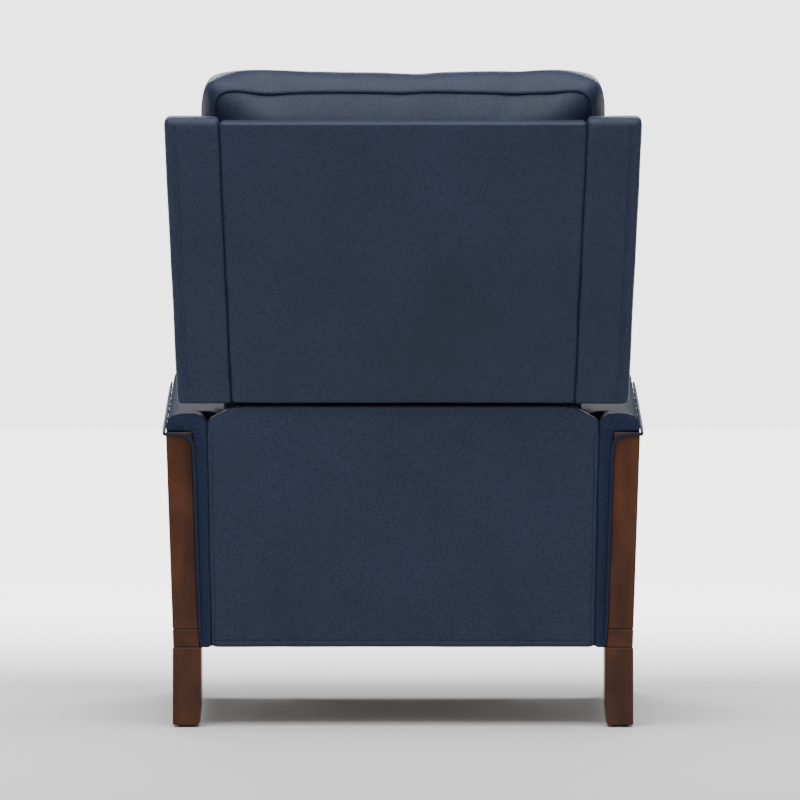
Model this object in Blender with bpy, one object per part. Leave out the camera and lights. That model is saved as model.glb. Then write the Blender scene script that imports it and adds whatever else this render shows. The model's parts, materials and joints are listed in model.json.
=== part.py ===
"""Push-back recliner armchair: leather shell and cushions, wooden side frames, steel mechanism.

Metres, +Z up, origin on the floor at the middle of the outline. A sitter faces -Y.
Each moving piece keeps its origin on the axis of its own joint.
"""
import math

import bmesh
import bpy
from mathutils import Matrix, Vector

GAP = 0.0005

# Back: laid out in its own plane, then leaned about its lower rear edge.
BACK_TILT = math.radians(13.0)
BACK_EDGE_Y = 0.345
BACK_EDGE_Z = 0.5125
BACK_PANEL_THICK = 0.030
BACK_PANEL_HEIGHT = 0.452
BACK_PANEL_HALF_LOW = 0.2725
BACK_PANEL_HALF_HIGH = 0.288
WING_HALF_LOW = 0.3575
WING_HALF_HIGH = 0.373
WING_THICK = 0.055
BACK_CUSHION_FRONT = 0.200
BACK_CUSHION_REAR = 0.0555
BACK_CUSHION_LOW = -0.165
BACK_CUSHION_TOP = 0.505
BACK_CUSHION_HALF_LOW = 0.272
BACK_CUSHION_HALF_HIGH = 0.315
BACK_PIVOT = (0.293, 0.485)
BACK_PANEL_FRONT_LOW = 0.014
BACK_FRAME_HALF = 0.277
BACK_FRAME_LOW = 0.016
BACK_FRAME_TOP = 0.440
BRACKET_FORWARD = 0.043
BRACKET_HALF_WIDTH = 0.010
BRACKET_LOW = 0.020
BRACKET_TOP = 0.200
LEVER_LOW_Z = 0.305

# Base: two side frames joined by cross rails and a rear panel.
REAR_Y = 0.338
FRONT_Y = -0.400
BASE_LOW = 0.1275
LEG_TOP = 0.127
LEG_TAPER_TOP = 0.040
LEG_TAPER = 0.004
REAR_LEG_WIDER = 0.0040
FRONT_LEG_NARROWER = 0.0075
REAR_PANEL_THICK = 0.030
REAR_PANEL_TOP = 0.510
REAR_PANEL_SHOULDER = 0.491
REAR_PANEL_TOP_HALF = 0.272
REAR_PANEL_HALF_LOW = 0.3050
REAR_PANEL_HALF_HIGH = 0.3130
SHOULDER_CHAMFER = 0.006
ARM_INNER = 0.288
ARM_FRONT_Y = -0.425
ARM_PAD_LOW_REAR = 0.4695
ARM_RISE = 0.12
ARM_PAD_CROWN = 0.0285
FRONT_LEG_RAKE = 0.007
POST_INNER_LOW = 0.3240
POST_LEAN = 0.0345
POST_WIDTH = 0.0415
POST_DEPTH = 0.046
SPLAY = 0.028
SIDE_RAIL_TOP = 0.1555
INSET_DEPTH = 0.008
GLIDE_RADIUS = 0.014
GLIDE_HEIGHT = 0.0025
WELT_RADIUS = 0.0032
WELT_DROP = 0.004
CROSS_RAIL_TOP = 0.163

# Mechanism: steel plates side by side, counted inwards from the arm.
PLATE = 0.004
LAYER_PITCH = 0.005
BASE_PLATE_X = 0.2835
STUD_RADIUS = 0.005
STUD_PLAY = 0.0004
LINK_RADIUS = 0.0115
TORQUE_ROD_RADIUS = 0.008
SWING_LENGTH = 0.125
SWING_ANGLE = math.asin(0.3)
SWING_PIVOT_Z = 0.190
REAR_SWING_Y = 0.100
FRONT_SWING_Y = -0.220
LEVER_PIN_Z = 0.346
LEVER_PIN_RADIUS = 0.004
LEVER_SLOT_PLAY = 0.005
LEVER_HALF_WIDTH = 0.0135
LEVER_NOTCH_DEEP = 0.0225
LEVER_NOTCH_LOW = 0.462
LEVER_NOTCH_HIGH = 0.525
BASE_PLATE_FRONT_Y = -0.270
BASE_PLATE_LOW = 0.166
BASE_PLATE_STEP = 0.214
BASE_PLATE_TOP = 0.500
BASE_PLATE_ARM = 0.028
SEAT_PLATE_FRONT_Y = -0.350
SEAT_PLATE_REAR_Y = 0.306
SEAT_PLATE_NOSE = 0.300
SEAT_PLATE_LOW = 0.292
LEVER_EAR = 0.014
FOOT_PIVOT = (-0.330, 0.322)
FOOT_ELBOW = (-0.0839, 0.2381)
FOOT_BOARD_PIVOT = (-0.374, 0.215)

# Seat and footrest.
SEAT_FRONT_Y = -0.386
SEAT_REAR_Y = 0.115
SEAT_FRAME_LOW = 0.3455
SEAT_FRAME_TOP = 0.3755
SEAT_HALF = 0.2775
SEAT_RAIL_WIDTH = 0.040
SEAT_CUSHION_TOP = 0.475
SEAT_CUSHION_FRONT_Y = -0.432
FOOT_PAD_LOW = 0.155
FOOT_PAD_TOP = 0.368
FOOT_PAD_FRONT_Y = -0.4455
FOOT_PAD_REAR_Y = -0.404
FOOT_BOARD_THICK = 0.012
FOOT_BOARD_HALF = 0.270
FOOT_BOARD_INSET = 0.010
WEBBING_THICK = 0.003
WEBBING_DROP = 0.008
STRAP_WIDTH = 0.050
STRAPS_ALONG = 5
STRAPS_ACROSS = 4

SIDES = (("left", -1.0), ("right", 1.0))

MATERIALS = {
    "leather": ((0.030, 0.045, 0.085, 1.0), 0.45, 0.0),
    "welt_leather": ((0.020, 0.030, 0.060, 1.0), 0.45, 0.0),
    "walnut": ((0.075, 0.030, 0.015, 1.0), 0.40, 0.0),
    "plywood": ((0.450, 0.300, 0.160, 1.0), 0.70, 0.0),
    "steel": ((0.050, 0.050, 0.055, 1.0), 0.45, 0.8),
    "webbing": ((0.060, 0.055, 0.050, 1.0), 0.90, 0.0),
    "nylon": ((0.030, 0.030, 0.030, 1.0), 0.50, 0.0),
}


def clear_scene():
    for item in list(bpy.data.objects):
        bpy.data.objects.remove(item, do_unlink=True)


def add_object(name, bm, finish, pivot=None, smooth=False):
    """Turns a bmesh into a named object with its own material and its origin on the pivot (y, z)."""
    bmesh.ops.recalc_face_normals(bm, faces=bm.faces)
    if bm.calc_volume(signed=True) < 0.0:
        bmesh.ops.reverse_faces(bm, faces=bm.faces)
    origin = Vector((0.0, pivot[0], pivot[1])) if pivot else Vector((0.0, 0.0, 0.0))
    bm.transform(Matrix.Translation(-origin))
    mesh = bpy.data.meshes.new(name)
    bm.to_mesh(mesh)
    bm.free()
    colour, roughness, metallic = MATERIALS[finish]
    material = bpy.data.materials.new(name + "_" + finish)
    material.use_nodes = True
    shader = material.node_tree.nodes["Principled BSDF"]
    shader.inputs["Base Color"].default_value = colour
    shader.inputs["Roughness"].default_value = roughness
    shader.inputs["Metallic"].default_value = metallic
    mesh.materials.append(material)
    for face in mesh.polygons:
        face.use_smooth = smooth
    item = bpy.data.objects.new(name, mesh)
    item.location = origin
    bpy.context.collection.objects.link(item)
    return item


def soften(item, radius, segments=2, angle=35.0):
    """Rounds the edges of an object that are sharper than the given angle in degrees."""
    bevel = item.modifiers.new("soft_edges", "BEVEL")
    bevel.width = radius
    bevel.segments = segments
    bevel.limit_method = "ANGLE"
    bevel.angle_limit = math.radians(angle)
    bevel.use_clamp_overlap = True
    return item


def at(value, y, z):
    """A number as it is, or a function of the place in the side view."""
    return value(y, z) if callable(value) else value


def circle(centre, radius, sides=16):
    turns = [2.0 * math.pi * step / sides for step in range(sides)]
    return [(centre[0] + radius * math.cos(t), centre[1] + radius * math.sin(t)) for t in turns]


def capsule(start, end, radius, steps=8):
    """Outline of a flat link with round ends, from one pivot to the other."""
    heading = math.atan2(end[1] - start[1], end[0] - start[0])
    points = []
    for centre, first in ((end, heading - math.pi / 2), (start, heading + math.pi / 2)):
        for step in range(steps + 1):
            turn = first + math.pi * step / steps
            points.append((centre[0] + radius * math.cos(turn), centre[1] + radius * math.sin(turn)))
    return points


def add_ring(bm, loop, x_value):
    """A closed ring of points in a plane of near constant x, with its edges."""
    points = [bm.verts.new((at(x_value, y, z), y, z)) for y, z in loop]
    edges = [bm.edges.new((points[i], points[(i + 1) % len(points)])) for i in range(len(points))]
    return points, edges


def join_rings(bm, first, second):
    count = len(first)
    for i in range(count):
        j = (i + 1) % count
        bm.faces.new((first[i], first[j], second[j], second[i]))


def prism(outline, x_low, x_high):
    """A side-view outline given width in x; each side may lean or splay."""
    bm = bmesh.new()
    low, _ = add_ring(bm, outline, x_low)
    high, _ = add_ring(bm, outline, x_high)
    bm.faces.new(low)
    bm.faces.new(high)
    join_rings(bm, low, high)
    return bm


def plate(outline, x_low, x_high, holes=(), low_studs=(), high_studs=()):
    """A flat steel plate with through holes and with round studs on either face.

    A hole is a list of points. A stud is (centre, radius, x of its end).
    """
    bm = bmesh.new()
    low, low_edges = add_ring(bm, outline, x_low)
    high, high_edges = add_ring(bm, outline, x_high)
    join_rings(bm, low, high)
    for hole in holes:
        low_hole, more_low = add_ring(bm, hole, x_low)
        high_hole, more_high = add_ring(bm, hole, x_high)
        join_rings(bm, low_hole, high_hole)
        low_edges += more_low
        high_edges += more_high
    for studs, face_x, face_edges in ((low_studs, x_low, low_edges), (high_studs, x_high, high_edges)):
        for centre, radius, end_x in studs:
            loop = circle(centre, radius)
            foot, foot_edges = add_ring(bm, loop, face_x)
            tip, _ = add_ring(bm, loop, end_x)
            join_rings(bm, foot, tip)
            bm.faces.new(tip)
            face_edges += foot_edges
    bmesh.ops.triangle_fill(bm, use_beauty=True, use_dissolve=False, edges=low_edges)
    bmesh.ops.triangle_fill(bm, use_beauty=True, use_dissolve=False, edges=high_edges)
    return bm


def rectangle(low, high):
    return [(low[0], low[1]), (high[0], low[1]), (high[0], high[1]), (low[0], high[1])]


def box(low, high):
    return prism(rectangle(low[1:], high[1:]), low[0], high[0])


def loft(sections):
    """Joins closed rings with the same number of points and closes both ends."""
    bm = bmesh.new()
    rings = [[bm.verts.new(point) for point in section] for section in sections]
    bm.faces.new(rings[0])
    bm.faces.new(rings[-1])
    for first, second in zip(rings, rings[1:]):
        join_rings(bm, first, second)
    return bm


def tube(path, radius, sides=6):
    """A round cord along a path of points, mitred at each turn."""
    points = [Vector(point) for point in path]
    steps = [(b - a).normalized() for a, b in zip(points, points[1:])]
    side = steps[0].orthogonal().normalized()
    sections = []
    for index, point in enumerate(points):
        before = steps[max(index - 1, 0)]
        after = steps[min(index, len(steps) - 1)]
        along = (before + after).normalized()
        side = (side - along * side.dot(along)).normalized()
        across = along.cross(side)
        ring = []
        for step in range(sides):
            turn = 2.0 * math.pi * step / sides
            ring.append(point + radius * (math.cos(turn) * side + math.sin(turn) * across))
        sections.append(ring)
    return loft(sections)


def mirrored(bm, sign):
    """The right-hand shape as drawn, or its mirror image for the left."""
    if sign < 0:
        bm.transform(Matrix.Scale(-1.0, 4, Vector((1.0, 0.0, 0.0))))
    return bm


def both_sides(name, build, finish, pivot=None, radius=0.0, segments=2, smooth=False):
    for side, sign in SIDES:
        item = add_object(name + "_" + side, mirrored(build(), sign), finish, pivot, smooth)
        if radius > 0.0:
            soften(item, radius, segments)


def layer(number):
    """Low and high x of a steel plate, layer 0 being screwed to the arm."""
    low = BASE_PLATE_X - LAYER_PITCH * number
    return low, low + PLATE


# Outlines shared by the side frames.

def splay(y):
    """How far the side frame stands out at y, growing towards the front."""
    return SPLAY * (REAR_Y - y) / (REAR_Y - FRONT_Y)


def post_inner(y, z):
    return POST_INNER_LOW + POST_LEAN * (z - BASE_LOW) + splay(y)


def post_outer(y, z):
    return post_inner(y, z) + POST_WIDTH


def arm_body_outer(y, z):
    return post_inner(y, z) - GAP


def inset_inner(y, z):
    return post_inner(y, z)


def inset_outer(y, z):
    return post_outer(y, z) - INSET_DEPTH


def pad_low(y):
    """Height of the underside of the arm pad, which climbs towards the front."""
    return ARM_PAD_LOW_REAR + ARM_RISE * (REAR_Y - y)


def pad_outer(y):
    return post_outer(y, pad_low(y)) - GAP


# Side frames and base.

def arm_body():
    """Padded inside of the arm, from the front of the chair back to the rear panel."""
    rear = REAR_Y - REAR_PANEL_THICK - GAP
    outline = [
        (FRONT_Y, BASE_LOW),
        (rear, BASE_LOW),
        (rear, pad_low(rear) - GAP),
        (FRONT_Y, pad_low(FRONT_Y) - GAP),
    ]
    return prism(outline, ARM_INNER, arm_body_outer)


def arm_back_strip():
    outline = rectangle(
        (REAR_Y - REAR_PANEL_THICK, BASE_LOW),
        (REAR_Y - 0.001, pad_low(REAR_Y) - GAP),
    )
    return prism(outline, lambda y, z: rear_panel_half(z) + GAP, arm_body_outer)


def rear_panel_half(z):
    """Half width of the rear panel: nearly upright, a little wider at its shoulders."""
    share = (z - BASE_LOW) / (REAR_PANEL_SHOULDER - BASE_LOW)
    return REAR_PANEL_HALF_LOW + (REAR_PANEL_HALF_HIGH - REAR_PANEL_HALF_LOW) * share


def rear_panel():
    """Padded panel between the rear posts, with shoulders that slope up to its top edge."""
    low_half = rear_panel_half(BASE_LOW)
    shoulder = rear_panel_half(REAR_PANEL_SHOULDER)
    right = [
        (low_half, BASE_LOW),
        (shoulder, REAR_PANEL_SHOULDER - SHOULDER_CHAMFER),
        (shoulder - SHOULDER_CHAMFER, REAR_PANEL_SHOULDER),
        (REAR_PANEL_TOP_HALF, REAR_PANEL_TOP),
    ]
    points = right + [(-x, z) for x, z in reversed(right)]
    front = [(x, REAR_Y - REAR_PANEL_THICK, z) for x, z in points]
    rear = [(x, REAR_Y, z) for x, z in points]
    return loft([front, rear])


def rear_post():
    top = pad_low(REAR_Y) - GAP
    outline = [
        (REAR_Y - POST_DEPTH, SIDE_RAIL_TOP + GAP),
        (REAR_Y, SIDE_RAIL_TOP + GAP),
        (REAR_Y, top),
        (REAR_Y - POST_DEPTH, pad_low(REAR_Y - POST_DEPTH) - GAP),
    ]
    return prism(outline, post_inner, post_outer)


def front_post():
    outline = [
        (FRONT_Y, SIDE_RAIL_TOP + GAP),
        (FRONT_Y + POST_DEPTH, SIDE_RAIL_TOP + GAP),
        (FRONT_Y + POST_DEPTH, pad_low(FRONT_Y + POST_DEPTH) - GAP),
        (FRONT_Y, pad_low(FRONT_Y) - GAP),
    ]
    return prism(outline, post_inner, post_outer)


def side_rail():
    return prism(rectangle((FRONT_Y, BASE_LOW), (REAR_Y, SIDE_RAIL_TOP)), post_inner, post_outer)


def side_inset_panel():
    low_y = FRONT_Y + POST_DEPTH + GAP
    high_y = REAR_Y - POST_DEPTH - GAP
    outline = [
        (low_y, SIDE_RAIL_TOP + GAP),
        (high_y, SIDE_RAIL_TOP + GAP),
        (high_y, pad_low(high_y) - GAP),
        (low_y, pad_low(low_y) - GAP),
    ]
    return prism(outline, inset_inner, inset_outer)


def arm_pad():
    """Crowned leather pad: notched round the rear panel, with a rounded nose over the front post."""
    notch_y = REAR_Y - REAR_PANEL_THICK - 2 * GAP
    notch_x = rear_panel_half(pad_low(REAR_Y)) + GAP
    nose = FRONT_Y - ARM_FRONT_Y
    # Each station: its y, the share of the full crown there, and its inner edge.
    stations = (
        (REAR_Y, 0.97, notch_x),
        (notch_y, 1.0, notch_x),
        (notch_y - 4 * GAP, 1.0, ARM_INNER),
        (0.0, 1.0, ARM_INNER),
        (FRONT_Y + 1.6 * nose, 1.0, ARM_INNER),
        (FRONT_Y, 0.93, ARM_INNER),
        (FRONT_Y - 0.68 * nose, 0.72, ARM_INNER + nose / 8),
        (ARM_FRONT_Y, 0.35, ARM_INNER + nose / 4),
    )
    # Each point round a station: its share of the width, and of the crown's height.
    profile = ((0.0, 0.0), (0.0, 0.45), (0.06, 0.72), (0.18, 0.93), (0.38, 1.0),
               (0.55, 1.0), (0.78, 0.93), (0.93, 0.72), (1.0, 0.0))
    sections = []
    for y, height_share, inner in stations:
        low = pad_low(max(y, FRONT_Y))
        outer = pad_outer(y) - max(FRONT_Y - y, 0.0) / 4.0
        ring = []
        for cross, crown in profile:
            x = inner + (outer - inner) * cross
            ring.append((x, y, low + ARM_PAD_CROWN * crown * height_share))
        sections.append(ring)
    return loft(sections)


def arm_welt():
    """Piping up the edge of the rear post, round the arm pad and along its outer side."""
    stand = WELT_RADIUS + GAP
    rear = REAR_Y + stand
    turn_z = pad_low(REAR_Y) - WELT_DROP
    path = []
    for z in (BASE_LOW + WELT_DROP, 0.250, 0.370, turn_z - 0.0205):
        path.append((post_inner(REAR_Y, z) - 4 * GAP, rear, z))
    for z, out in ((turn_z - 0.0085, 4 * GAP), (turn_z, 20 * GAP)):
        path.append((post_inner(REAR_Y, z) + out, rear, z))
    corner = post_outer(REAR_Y, pad_low(REAR_Y))
    path.append((corner + 3 * GAP, rear, turn_z))
    path.append((corner + stand, REAR_Y + 3 * GAP, turn_z))
    for y in (0.10, -0.15, FRONT_Y):
        path.append((post_outer(y, pad_low(y)) + stand, y, pad_low(y) - WELT_DROP))
    return tube(path, WELT_RADIUS)


def leg(y_low, y_high, inner_y, rake, inset):
    """Square leg, cut away on its inner face near the floor and raked outwards.

    The inset is how far its inner face stands outside the post's, and may be negative.
    """
    post_in = POST_INNER_LOW + splay(inner_y)
    sections = []
    # Each level: its height, how far the inner face is cut away, and its share of the rake.
    levels = (
        (GLIDE_HEIGHT + GAP, LEG_TAPER, 1.0),
        (LEG_TAPER_TOP, 0.0, 0.7),
        (LEG_TOP, 0.0, 0.0),
    )
    for z, taper, share in levels:
        low_x = post_in + inset + taper + rake * share
        high_x = post_in + POST_WIDTH + rake * share
        sections.append([(low_x, y_low, z), (high_x, y_low, z), (high_x, y_high, z), (low_x, y_high, z)])
    return loft(sections)


def glide(y, rake):
    """Nylon button under the middle of a leg."""
    centre_x = POST_INNER_LOW + splay(y) + POST_WIDTH / 2 + rake
    rings = []
    for z in (0.0, GLIDE_HEIGHT):
        rings.append([(centre_x + a, y + b, z) for a, b in circle((0.0, 0.0), GLIDE_RADIUS)])
    return loft(rings)


def base_plate():
    """Steel bracket on the inside of the arm, with a stud for each swing link and for the back."""
    low, high = layer(0)
    rear = REAR_Y - REAR_PANEL_THICK - 4 * GAP
    outline = [
        (BASE_PLATE_FRONT_Y, BASE_PLATE_LOW),
        (rear, BASE_PLATE_LOW),
        (rear, BASE_PLATE_TOP),
        (rear - BASE_PLATE_ARM, BASE_PLATE_TOP),
        (rear - BASE_PLATE_ARM, BASE_PLATE_STEP),
        (BASE_PLATE_FRONT_Y, BASE_PLATE_STEP),
    ]
    end = layer(1)[0] - GAP
    studs = [(place, STUD_RADIUS, end) for place in (REAR_SWING_BASE, FRONT_SWING_BASE, BACK_PIVOT)]
    return plate(outline, low, high, low_studs=studs)


def cross_rail(y_low, y_high):
    reach = ARM_INNER - GAP
    return box((-reach, y_low, BASE_LOW), (reach, y_high, CROSS_RAIL_TOP))


# Swing links carry the seat on a parallelogram.

def swing_top(base):
    return (base[0] + SWING_LENGTH * math.sin(SWING_ANGLE), base[1] + SWING_LENGTH * math.cos(SWING_ANGLE))


REAR_SWING_BASE = (REAR_SWING_Y, SWING_PIVOT_Z)
FRONT_SWING_BASE = (FRONT_SWING_Y, SWING_PIVOT_Z)
REAR_SWING_TOP = swing_top(REAR_SWING_BASE)
FRONT_SWING_TOP = swing_top(FRONT_SWING_BASE)


def swing_link(base, top):
    low, high = layer(1)
    bore = circle(base, STUD_RADIUS + STUD_PLAY)
    stud = (top, STUD_RADIUS, layer(2)[0] - GAP)
    return plate(capsule(base, top, LINK_RADIUS), low, high, holes=[bore], low_studs=[stud])


def torque_rod(place, reach):
    """Round steel rod across the chair that makes a left and a right link move as one."""
    bm = bmesh.new()
    low, _ = add_ring(bm, circle(place, TORQUE_ROD_RADIUS), -reach)
    high, _ = add_ring(bm, circle(place, TORQUE_ROD_RADIUS), reach)
    bm.faces.new(low)
    bm.faces.new(high)
    join_rings(bm, low, high)
    return bm


def midway(first, second):
    return ((first[0] + second[0]) / 2, (first[1] + second[1]) / 2)


# Seat.

def seat_plate():
    """Steel rail under the seat frame: it rides on the swing links and carries the footrest."""
    low, high = layer(2)
    top = SEAT_FRAME_LOW - GAP
    corner = 0.006
    outline = [
        (SEAT_PLATE_FRONT_Y, SEAT_PLATE_NOSE),
        (FRONT_SWING_Y + 0.020, SEAT_PLATE_LOW),
        (SEAT_PLATE_REAR_Y - corner, SEAT_PLATE_LOW),
        (SEAT_PLATE_REAR_Y, SEAT_PLATE_LOW + corner),
        (SEAT_PLATE_REAR_Y, LEVER_PIN_Z + LEVER_EAR - corner),
        (SEAT_PLATE_REAR_Y - corner, LEVER_PIN_Z + LEVER_EAR),
        (BACK_PIVOT[0] - 0.008, LEVER_PIN_Z + LEVER_EAR),
        (BACK_PIVOT[0] - 0.033, top),
        (SEAT_PLATE_FRONT_Y, top),
    ]
    bores = [circle(place, STUD_RADIUS + STUD_PLAY) for place in (REAR_SWING_TOP, FRONT_SWING_TOP)]
    lever_pin = ((BACK_PIVOT[0], LEVER_PIN_Z), LEVER_PIN_RADIUS, layer(1)[1] + GAP)
    foot_stud = (FOOT_PIVOT, STUD_RADIUS, layer(3)[0] - GAP)
    return plate(outline, low, high, holes=bores, low_studs=[foot_stud], high_studs=[lever_pin])


def seat_frame():
    """Timber ring that the webbing and the cushion lie on."""
    outer = rectangle((-SEAT_HALF, SEAT_FRONT_Y), (SEAT_HALF, SEAT_REAR_Y))
    inset = SEAT_RAIL_WIDTH
    inner = rectangle((-SEAT_HALF + inset, SEAT_FRONT_Y + inset), (SEAT_HALF - inset, SEAT_REAR_Y - inset))
    return laid_flat(plate(outer, SEAT_FRAME_LOW, SEAT_FRAME_TOP, holes=[inner]))


def laid_flat(bm):
    """Turns a plate drawn across x into one that lies level: (x, y, z) becomes (y, z, x)."""
    for vert in bm.verts:
        vert.co = Vector((vert.co.y, vert.co.z, vert.co.x))
    return bm


def seat_webbing():
    """Elastic straps woven both ways inside the seat frame, stitched where they cross."""
    inset = SEAT_RAIL_WIDTH + GAP
    low_x = -SEAT_HALF + inset
    high_x = SEAT_HALF - inset
    low_y = SEAT_FRONT_Y + inset
    high_y = SEAT_REAR_Y - inset
    gap_x = (high_x - low_x - STRAP_WIDTH * STRAPS_ALONG) / (STRAPS_ALONG - 1)
    gap_y = (high_y - low_y - STRAP_WIDTH * STRAPS_ACROSS) / (STRAPS_ACROSS - 1)
    windows = []
    for column in range(STRAPS_ALONG - 1):
        for row in range(STRAPS_ACROSS - 1):
            corner_x = low_x + STRAP_WIDTH + column * (STRAP_WIDTH + gap_x)
            corner_y = low_y + STRAP_WIDTH + row * (STRAP_WIDTH + gap_y)
            windows.append(rectangle((corner_x, corner_y), (corner_x + gap_x, corner_y + gap_y)))
    height = SEAT_FRAME_TOP - WEBBING_DROP
    outline = rectangle((low_x, low_y), (high_x, high_y))
    return laid_flat(plate(outline, height, height + WEBBING_THICK, holes=windows))


def seat_cushion():
    low = (-SEAT_HALF, SEAT_CUSHION_FRONT_Y, SEAT_FRAME_TOP + GAP)
    high = (SEAT_HALF, SEAT_REAR_Y, SEAT_CUSHION_TOP)
    return box(low, high)


# Footrest.

def foot_link_upper():
    low, high = layer(3)
    bores = [circle(FOOT_PIVOT, STUD_RADIUS + STUD_PLAY)]
    stud = (FOOT_ELBOW, STUD_RADIUS, layer(4)[0] - GAP)
    return plate(capsule(FOOT_PIVOT, FOOT_ELBOW, LINK_RADIUS), low, high, holes=bores, low_studs=[stud])


def foot_link_lower():
    low, high = layer(4)
    bores = [circle(FOOT_ELBOW, STUD_RADIUS + STUD_PLAY)]
    stud = (FOOT_BOARD_PIVOT, STUD_RADIUS, layer(5)[0] - GAP)
    return plate(capsule(FOOT_ELBOW, FOOT_BOARD_PIVOT, LINK_RADIUS), low, high, holes=bores, low_studs=[stud])


def foot_bracket():
    """Angle bracket behind the foot board, with the eye that its link turns in."""
    low, high = layer(5)
    back = FOOT_PAD_REAR_Y + FOOT_BOARD_THICK + 2 * GAP
    eye_y, eye_z = FOOT_BOARD_PIVOT
    low_z = eye_z - 0.030
    top_z = eye_z + 0.085
    outline = [
        (back, low_z),
        (back + 0.020, low_z),
        (eye_y + 0.010, eye_z - 0.015),
        (eye_y + 0.012, eye_z + 0.013),
        (back + 0.010, top_z),
        (back, top_z),
    ]
    return plate(outline, low, high, holes=[circle(FOOT_BOARD_PIVOT, STUD_RADIUS + STUD_PLAY)])


def foot_board():
    low_y = FOOT_PAD_REAR_Y + GAP
    low = (-FOOT_BOARD_HALF, low_y, FOOT_PAD_LOW + FOOT_BOARD_INSET)
    high = (FOOT_BOARD_HALF, low_y + FOOT_BOARD_THICK, FOOT_PAD_TOP - FOOT_BOARD_INSET)
    return box(low, high)


def foot_pad():
    return box((-SEAT_HALF, FOOT_PAD_FRONT_Y, FOOT_PAD_LOW), (SEAT_HALF, FOOT_PAD_REAR_Y, FOOT_PAD_TOP))


# Back, drawn upright: (x, forward, up) measured from its lower rear edge.

def leaned(bm):
    """Stands a back piece on its lower rear edge and leans it backwards."""
    place = Matrix.Translation(Vector((0.0, BACK_EDGE_Y, BACK_EDGE_Z)))
    bm.transform(place @ Matrix.Rotation(-BACK_TILT, 4, "X"))
    return bm


def back_half(up, low_half, high_half):
    return low_half + (high_half - low_half) * up / BACK_PANEL_HEIGHT


def back_panel():
    """Padded rear panel between the wings, bevelled under its lower front edge."""
    outline = [
        (0.0, 0.0),
        (0.0, BACK_PANEL_HEIGHT),
        (-BACK_PANEL_THICK, BACK_PANEL_HEIGHT),
        (-BACK_PANEL_THICK, BACK_PANEL_FRONT_LOW),
    ]

    def half(_, up):
        return back_half(up, BACK_PANEL_HALF_LOW, BACK_PANEL_HALF_HIGH)

    return leaned(prism(outline, lambda y, z: -half(y, z), half))


def wing():
    """Wing of the back: a flange beside the rear panel and a thick cheek that runs forward."""
    profile = (
        (0.000, 0.000),
        (0.000, 0.450),
        (0.006, 0.457),
        (0.030, 0.458),
        (0.070, 0.448),
        (0.120, 0.427),
        (0.155, 0.402),
        (0.172, 0.365),
        (0.174, 0.310),
        (0.163, 0.230),
        (0.140, 0.150),
        (0.108, 0.085),
        (0.078, 0.040),
        (0.060, 0.012),
    )

    def cheek_inner(_, up):
        return back_half(up, WING_HALF_LOW, WING_HALF_HIGH) - WING_THICK

    def outer(_, up):
        return back_half(up, WING_HALF_LOW, WING_HALF_HIGH)

    def flange_inner(_, up):
        return back_half(up, BACK_PANEL_HALF_LOW, BACK_PANEL_HALF_HIGH) + GAP

    bm = bmesh.new()
    flange = [
        (0.0, 0.0),
        (0.0, 0.450),
        (-0.006, 0.457),
        (-BACK_PANEL_THICK, 0.458),
        (-BACK_PANEL_THICK, 0.0064),
    ]
    cheek = [(-forward, up) for forward, up in profile]
    outer_ring, _ = add_ring(bm, cheek + [flange[4]], outer)
    front_points = cheek[3:] + [flange[4]]
    inner_front, _ = add_ring(bm, front_points, cheek_inner)
    inner_rear, _ = add_ring(bm, flange, flange_inner)
    bm.faces.new(outer_ring)
    bm.faces.new(inner_front)
    bm.faces.new(inner_rear)
    bm.faces.new((inner_front[0], inner_rear[3], inner_rear[4], inner_front[-1]))
    for i in range(len(front_points) - 1):
        bm.faces.new((inner_front[i], inner_front[i + 1], outer_ring[i + 4], outer_ring[i + 3]))
    for i in range(3):
        bm.faces.new((inner_rear[i], inner_rear[i + 1], outer_ring[i + 1], outer_ring[i]))
    bm.faces.new((inner_rear[4], inner_rear[0], outer_ring[0], outer_ring[-1]))
    bm.faces.new((inner_rear[3], inner_front[0], outer_ring[3]))
    bm.faces.new((inner_front[-1], inner_rear[4], outer_ring[-1]))
    return leaned(bm)


def back_frame():
    """Timber board inside the back that the brackets and the padding are fixed to."""
    rear = -BACK_PANEL_THICK - GAP
    front = -BACK_CUSHION_REAR + GAP
    return leaned(box((-BACK_FRAME_HALF, front, BACK_FRAME_LOW), (BACK_FRAME_HALF, rear, BACK_FRAME_TOP)))


def back_cushion():
    """Loose cushion that rises above the shell and reaches down behind the seat."""
    outline = [
        (-BACK_CUSHION_REAR, BACK_CUSHION_LOW),
        (-BACK_CUSHION_REAR, BACK_CUSHION_TOP),
        (-BACK_CUSHION_FRONT, BACK_CUSHION_TOP),
        (-BACK_CUSHION_FRONT, BACK_CUSHION_LOW),
    ]
    slope = (BACK_CUSHION_HALF_HIGH - BACK_CUSHION_HALF_LOW) / (BACK_CUSHION_TOP - BACK_CUSHION_LOW)

    def half(_, up):
        return BACK_CUSHION_HALF_LOW + slope * (up - BACK_CUSHION_LOW)

    return leaned(prism(outline, lambda y, z: -half(y, z), half))


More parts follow.
